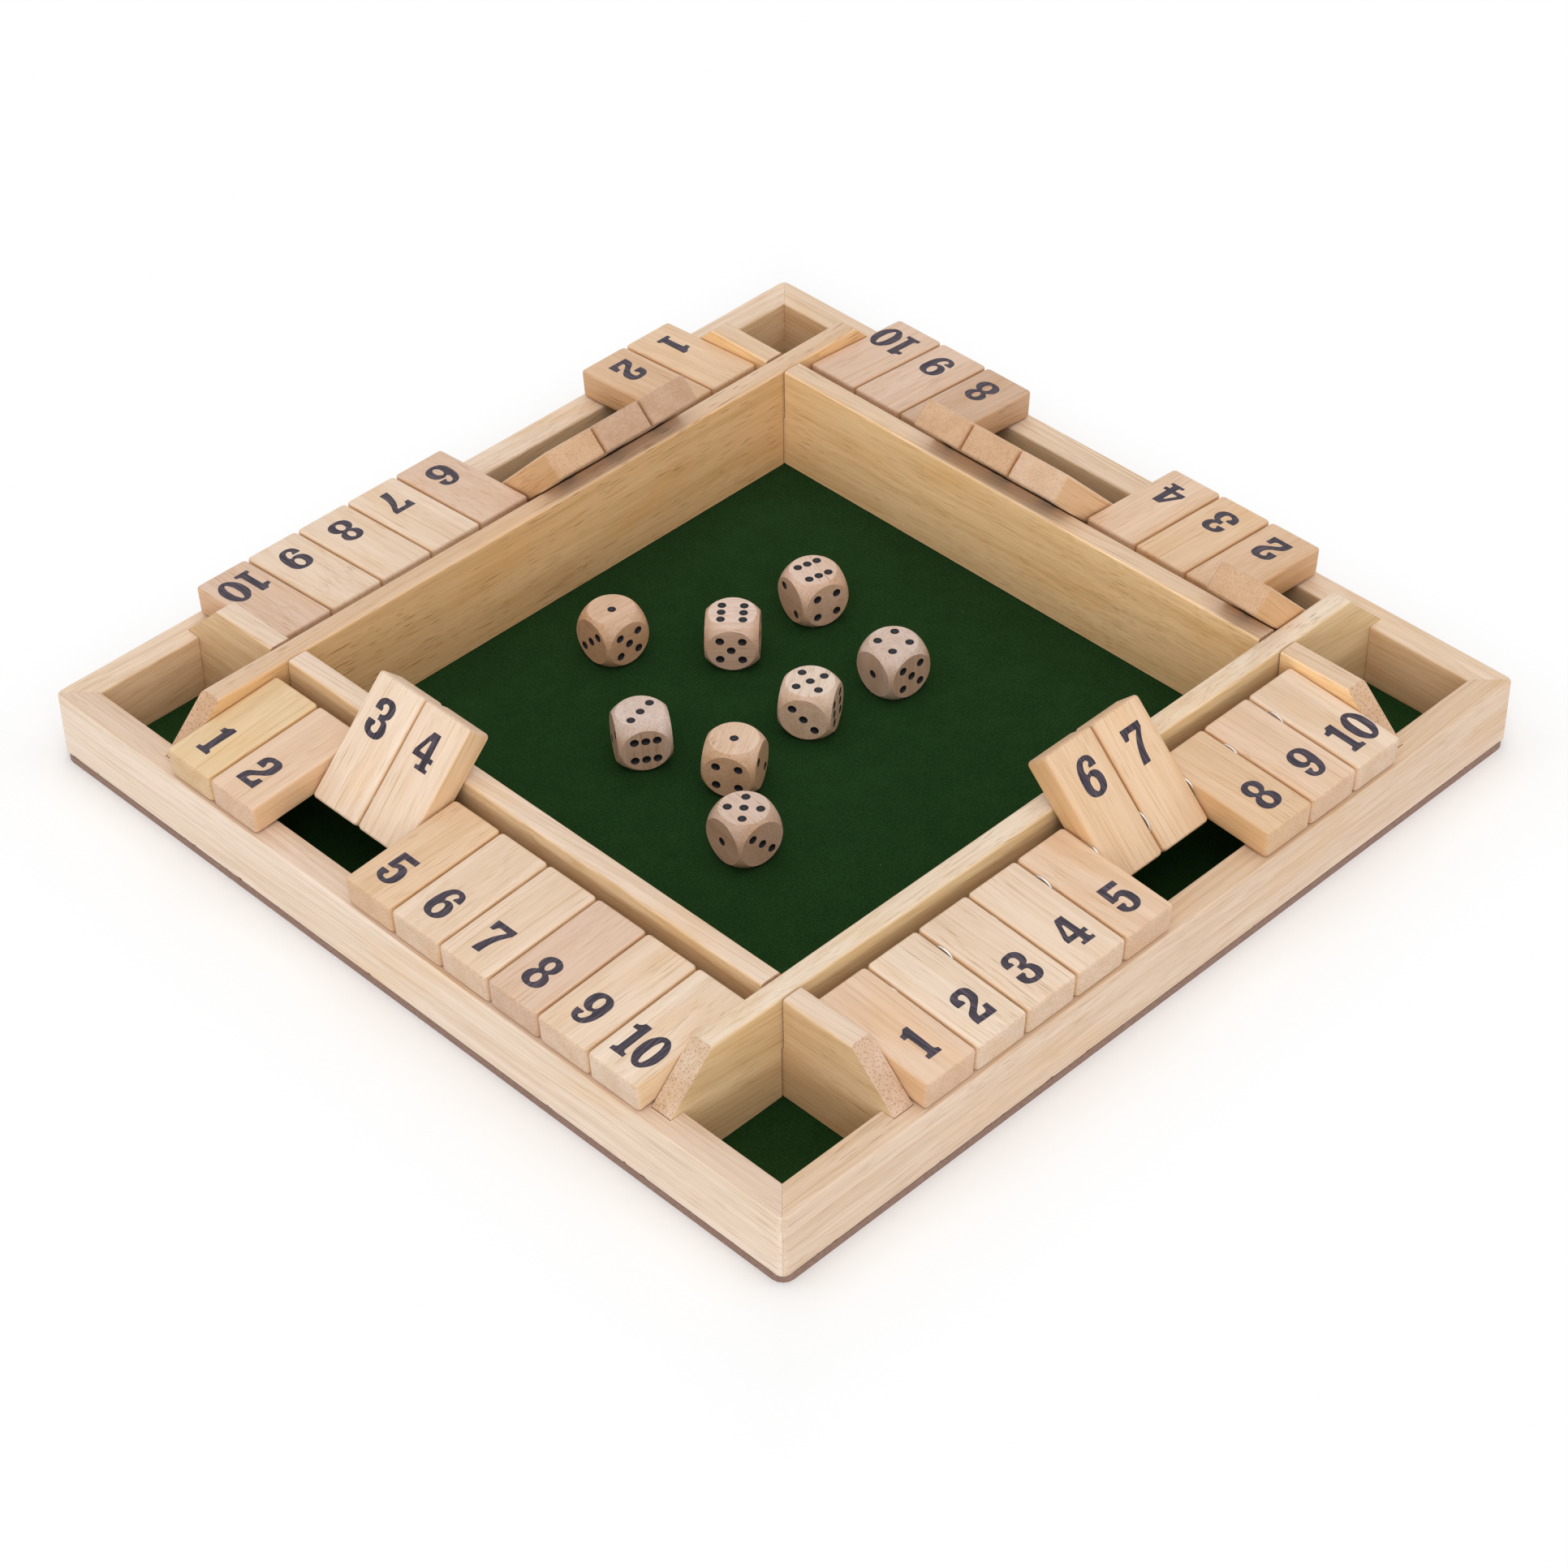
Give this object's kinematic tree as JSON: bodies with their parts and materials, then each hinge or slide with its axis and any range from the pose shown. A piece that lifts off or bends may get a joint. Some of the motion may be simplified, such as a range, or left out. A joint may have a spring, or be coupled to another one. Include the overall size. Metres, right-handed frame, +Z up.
{
  "type": "shut the box game",
  "caption": "Square wooden shut the box game for four players: crossing boards make a felt-floored tray, with rows of flip-over number tiles around it and loose dice.",
  "frame": {"origin": "middle of the underside, on the surface that the box stands on", "axes": "+Z up out of the tray, -Y towards the front row of tiles, +X to that player's right"},
  "size_m": [0.295, 0.295, 0.0557],
  "materials": {
    "hardboard": "matt brown hardboard",
    "felt": "deep green felt",
    "rail_wood": "satin pale hardwood",
    "board_wood": "satin pale hardwood",
    "tile_wood": "satin pale hardwood with dark printed numbers",
    "die_wood": "satin hardwood with dark pips",
    "steel": "bright steel"
  },
  "bodies": {
    "box": {"base_board": "hardboard", "felt_lining": "felt", "rails_front_right": "rail_wood", "rails_back_left": "rail_wood", "board_front": "board_wood", "board_right": "board_wood", "board_back": "board_wood", "board_left": "board_wood", "rod_front": "steel", "rod_right": "steel", "rod_back": "steel", "rod_left": "steel"},
    "tile_front_01": {"tile_front_01": "tile_wood"},
    "tile_front_02": {"tile_front_02": "tile_wood"},
    "tile_front_03": {"tile_front_03": "tile_wood"},
    "tile_front_04": {"tile_front_04": "tile_wood"},
    "tile_front_05": {"tile_front_05": "tile_wood"},
    "tile_front_06": {"tile_front_06": "tile_wood"},
    "tile_front_07": {"tile_front_07": "tile_wood"},
    "tile_front_08": {"tile_front_08": "tile_wood"},
    "tile_front_09": {"tile_front_09": "tile_wood"},
    "tile_front_10": {"tile_front_10": "tile_wood"},
    "tile_right_01": {"tile_right_01": "tile_wood"},
    "tile_right_02": {"tile_right_02": "tile_wood"},
    "tile_right_03": {"tile_right_03": "tile_wood"},
    "tile_right_04": {"tile_right_04": "tile_wood"},
    "tile_right_05": {"tile_right_05": "tile_wood"},
    "tile_right_06": {"tile_right_06": "tile_wood"},
    "tile_right_07": {"tile_right_07": "tile_wood"},
    "tile_right_08": {"tile_right_08": "tile_wood"},
    "tile_right_09": {"tile_right_09": "tile_wood"},
    "tile_right_10": {"tile_right_10": "tile_wood"},
    "tile_back_01": {"tile_back_01": "tile_wood"},
    "tile_back_02": {"tile_back_02": "tile_wood"},
    "tile_back_03": {"tile_back_03": "tile_wood"},
    "tile_back_04": {"tile_back_04": "tile_wood"},
    "tile_back_05": {"tile_back_05": "tile_wood"},
    "tile_back_06": {"tile_back_06": "tile_wood"},
    "tile_back_07": {"tile_back_07": "tile_wood"},
    "tile_back_08": {"tile_back_08": "tile_wood"},
    "tile_back_09": {"tile_back_09": "tile_wood"},
    "tile_back_10": {"tile_back_10": "tile_wood"},
    "tile_left_01": {"tile_left_01": "tile_wood"},
    "tile_left_02": {"tile_left_02": "tile_wood"},
    "tile_left_03": {"tile_left_03": "tile_wood"},
    "tile_left_04": {"tile_left_04": "tile_wood"},
    "tile_left_05": {"tile_left_05": "tile_wood"},
    "tile_left_06": {"tile_left_06": "tile_wood"},
    "tile_left_07": {"tile_left_07": "tile_wood"},
    "tile_left_08": {"tile_left_08": "tile_wood"},
    "tile_left_09": {"tile_left_09": "tile_wood"},
    "tile_left_10": {"tile_left_10": "tile_wood"},
    "die_1": {"die_1": "die_wood"},
    "die_2": {"die_2": "die_wood"},
    "die_3": {"die_3": "die_wood"},
    "die_4": {"die_4": "die_wood"},
    "die_5": {"die_5": "die_wood"},
    "die_6": {"die_6": "die_wood"},
    "die_7": {"die_7": "die_wood"},
    "die_8": {"die_8": "die_wood"}
  },
  "joints": [
    {"name": "tile_front_01_flip", "type": "hinge", "parent": "box", "child": "tile_front_01", "pos_m": [-0.08595, -0.1167, 0.0309], "axis": [-1, 0, 0], "range_deg": [0, 138.28]},
    {"name": "tile_front_02_flip", "type": "hinge", "parent": "box", "child": "tile_front_02", "pos_m": [-0.06685, -0.1167, 0.0309], "axis": [-1, 0, 0], "range_deg": [0, 138.28]},
    {"name": "tile_front_03_flip", "type": "hinge", "parent": "box", "child": "tile_front_03", "pos_m": [-0.04775, -0.1167, 0.0309], "axis": [-1, 0, 0], "range_deg": [-138.28, 0]},
    {"name": "tile_front_04_flip", "type": "hinge", "parent": "box", "child": "tile_front_04", "pos_m": [-0.02865, -0.1167, 0.0309], "axis": [-1, 0, 0], "range_deg": [-138.28, 0]},
    {"name": "tile_front_05_flip", "type": "hinge", "parent": "box", "child": "tile_front_05", "pos_m": [-0.00955, -0.1167, 0.0309], "axis": [-1, 0, 0], "range_deg": [0, 138.28]},
    {"name": "tile_front_06_flip", "type": "hinge", "parent": "box", "child": "tile_front_06", "pos_m": [0.00955, -0.1167, 0.0309], "axis": [-1, 0, 0], "range_deg": [0, 138.28]},
    {"name": "tile_front_07_flip", "type": "hinge", "parent": "box", "child": "tile_front_07", "pos_m": [0.02865, -0.1167, 0.0309], "axis": [-1, 0, 0], "range_deg": [0, 138.28]},
    {"name": "tile_front_08_flip", "type": "hinge", "parent": "box", "child": "tile_front_08", "pos_m": [0.04775, -0.1167, 0.0309], "axis": [-1, 0, 0], "range_deg": [0, 138.28]},
    {"name": "tile_front_09_flip", "type": "hinge", "parent": "box", "child": "tile_front_09", "pos_m": [0.06685, -0.1167, 0.0309], "axis": [-1, 0, 0], "range_deg": [0, 138.28]},
    {"name": "tile_front_10_flip", "type": "hinge", "parent": "box", "child": "tile_front_10", "pos_m": [0.08595, -0.1167, 0.0309], "axis": [-1, 0, 0], "range_deg": [0, 131.5]},
    {"name": "tile_right_01_flip", "type": "hinge", "parent": "box", "child": "tile_right_01", "pos_m": [0.1167, -0.08595, 0.0309], "axis": [0, -1, 0], "range_deg": [0, 138.28]},
    {"name": "tile_right_02_flip", "type": "hinge", "parent": "box", "child": "tile_right_02", "pos_m": [0.1167, -0.06685, 0.0309], "axis": [0, -1, 0], "range_deg": [0, 138.28]},
    {"name": "tile_right_03_flip", "type": "hinge", "parent": "box", "child": "tile_right_03", "pos_m": [0.1167, -0.04775, 0.0309], "axis": [0, -1, 0], "range_deg": [0, 138.28]},
    {"name": "tile_right_04_flip", "type": "hinge", "parent": "box", "child": "tile_right_04", "pos_m": [0.1167, -0.02865, 0.0309], "axis": [0, -1, 0], "range_deg": [0, 138.28]},
    {"name": "tile_right_05_flip", "type": "hinge", "parent": "box", "child": "tile_right_05", "pos_m": [0.1167, -0.00955, 0.0309], "axis": [0, -1, 0], "range_deg": [0, 138.28]},
    {"name": "tile_right_06_flip", "type": "hinge", "parent": "box", "child": "tile_right_06", "pos_m": [0.1167, 0.00955, 0.0309], "axis": [0, -1, 0], "range_deg": [-138.28, 0]},
    {"name": "tile_right_07_flip", "type": "hinge", "parent": "box", "child": "tile_right_07", "pos_m": [0.1167, 0.02865, 0.0309], "axis": [0, -1, 0], "range_deg": [-138.28, 0]},
    {"name": "tile_right_08_flip", "type": "hinge", "parent": "box", "child": "tile_right_08", "pos_m": [0.1167, 0.04775, 0.0309], "axis": [0, -1, 0], "range_deg": [0, 138.28]},
    {"name": "tile_right_09_flip", "type": "hinge", "parent": "box", "child": "tile_right_09", "pos_m": [0.1167, 0.06685, 0.0309], "axis": [0, -1, 0], "range_deg": [0, 138.28]},
    {"name": "tile_right_10_flip", "type": "hinge", "parent": "box", "child": "tile_right_10", "pos_m": [0.1167, 0.08595, 0.0309], "axis": [0, -1, 0], "range_deg": [0, 131.5]},
    {"name": "tile_back_01_flip", "type": "hinge", "parent": "box", "child": "tile_back_01", "pos_m": [0.08595, 0.1167, 0.0309], "axis": [1, 0, 0], "range_deg": [-138.28, 0]},
    {"name": "tile_back_02_flip", "type": "hinge", "parent": "box", "child": "tile_back_02", "pos_m": [0.06685, 0.1167, 0.0309], "axis": [1, 0, 0], "range_deg": [0, 138.28]},
    {"name": "tile_back_03_flip", "type": "hinge", "parent": "box", "child": "tile_back_03", "pos_m": [0.04775, 0.1167, 0.0309], "axis": [1, 0, 0], "range_deg": [0, 138.28]},
    {"name": "tile_back_04_flip", "type": "hinge", "parent": "box", "child": "tile_back_04", "pos_m": [0.02865, 0.1167, 0.0309], "axis": [1, 0, 0], "range_deg": [0, 138.28]},
    {"name": "tile_back_05_flip", "type": "hinge", "parent": "box", "child": "tile_back_05", "pos_m": [0.00955, 0.1167, 0.0309], "axis": [1, 0, 0], "range_deg": [-138.28, 0]},
    {"name": "tile_back_06_flip", "type": "hinge", "parent": "box", "child": "tile_back_06", "pos_m": [-0.00955, 0.1167, 0.0309], "axis": [1, 0, 0], "range_deg": [-138.28, 0]},
    {"name": "tile_back_07_flip", "type": "hinge", "parent": "box", "child": "tile_back_07", "pos_m": [-0.02865, 0.1167, 0.0309], "axis": [1, 0, 0], "range_deg": [-138.28, 0]},
    {"name": "tile_back_08_flip", "type": "hinge", "parent": "box", "child": "tile_back_08", "pos_m": [-0.04775, 0.1167, 0.0309], "axis": [1, 0, 0], "range_deg": [0, 138.28]},
    {"name": "tile_back_09_flip", "type": "hinge", "parent": "box", "child": "tile_back_09", "pos_m": [-0.06685, 0.1167, 0.0309], "axis": [1, 0, 0], "range_deg": [0, 138.28]},
    {"name": "tile_back_10_flip", "type": "hinge", "parent": "box", "child": "tile_back_10", "pos_m": [-0.08595, 0.1167, 0.0309], "axis": [1, 0, 0], "range_deg": [0, 131.5]},
    {"name": "tile_left_01_flip", "type": "hinge", "parent": "box", "child": "tile_left_01", "pos_m": [-0.1167, 0.08595, 0.0309], "axis": [0, 1, 0], "range_deg": [0, 138.28]},
    {"name": "tile_left_02_flip", "type": "hinge", "parent": "box", "child": "tile_left_02", "pos_m": [-0.1167, 0.06685, 0.0309], "axis": [0, 1, 0], "range_deg": [0, 138.28]},
    {"name": "tile_left_03_flip", "type": "hinge", "parent": "box", "child": "tile_left_03", "pos_m": [-0.1167, 0.04775, 0.0309], "axis": [0, 1, 0], "range_deg": [-138.28, 0]},
    {"name": "tile_left_04_flip", "type": "hinge", "parent": "box", "child": "tile_left_04", "pos_m": [-0.1167, 0.02865, 0.0309], "axis": [0, 1, 0], "range_deg": [-138.28, 0]},
    {"name": "tile_left_05_flip", "type": "hinge", "parent": "box", "child": "tile_left_05", "pos_m": [-0.1167, 0.00955, 0.0309], "axis": [0, 1, 0], "range_deg": [-138.28, 0]},
    {"name": "tile_left_06_flip", "type": "hinge", "parent": "box", "child": "tile_left_06", "pos_m": [-0.1167, -0.00955, 0.0309], "axis": [0, 1, 0], "range_deg": [0, 138.28]},
    {"name": "tile_left_07_flip", "type": "hinge", "parent": "box", "child": "tile_left_07", "pos_m": [-0.1167, -0.02865, 0.0309], "axis": [0, 1, 0], "range_deg": [0, 138.28]},
    {"name": "tile_left_08_flip", "type": "hinge", "parent": "box", "child": "tile_left_08", "pos_m": [-0.1167, -0.04775, 0.0309], "axis": [0, 1, 0], "range_deg": [0, 138.28]},
    {"name": "tile_left_09_flip", "type": "hinge", "parent": "box", "child": "tile_left_09", "pos_m": [-0.1167, -0.06685, 0.0309], "axis": [0, 1, 0], "range_deg": [0, 138.28]},
    {"name": "tile_left_10_flip", "type": "hinge", "parent": "box", "child": "tile_left_10", "pos_m": [-0.1167, -0.08595, 0.0309], "axis": [0, 1, 0], "range_deg": [0, 131.5]},
    {"name": "die_1_lift", "type": "slide", "parent": "box", "child": "die_1", "axis": [0, 0, 1], "range_m": [0, 0.06]},
    {"name": "die_2_lift", "type": "slide", "parent": "box", "child": "die_2", "axis": [0, 0, 1], "range_m": [0, 0.06]},
    {"name": "die_3_lift", "type": "slide", "parent": "box", "child": "die_3", "axis": [0, 0, 1], "range_m": [0, 0.06]},
    {"name": "die_4_lift", "type": "slide", "parent": "box", "child": "die_4", "axis": [0, 0, 1], "range_m": [0, 0.06]},
    {"name": "die_5_lift", "type": "slide", "parent": "box", "child": "die_5", "axis": [0, 0, 1], "range_m": [0, 0.06]},
    {"name": "die_6_lift", "type": "slide", "parent": "box", "child": "die_6", "axis": [0, 0, 1], "range_m": [0, 0.06]},
    {"name": "die_7_lift", "type": "slide", "parent": "box", "child": "die_7", "axis": [0, 0, 1], "range_m": [0, 0.06]},
    {"name": "die_8_lift", "type": "slide", "parent": "box", "child": "die_8", "axis": [0, 0, 1], "range_m": [0, 0.06]}
  ]
}
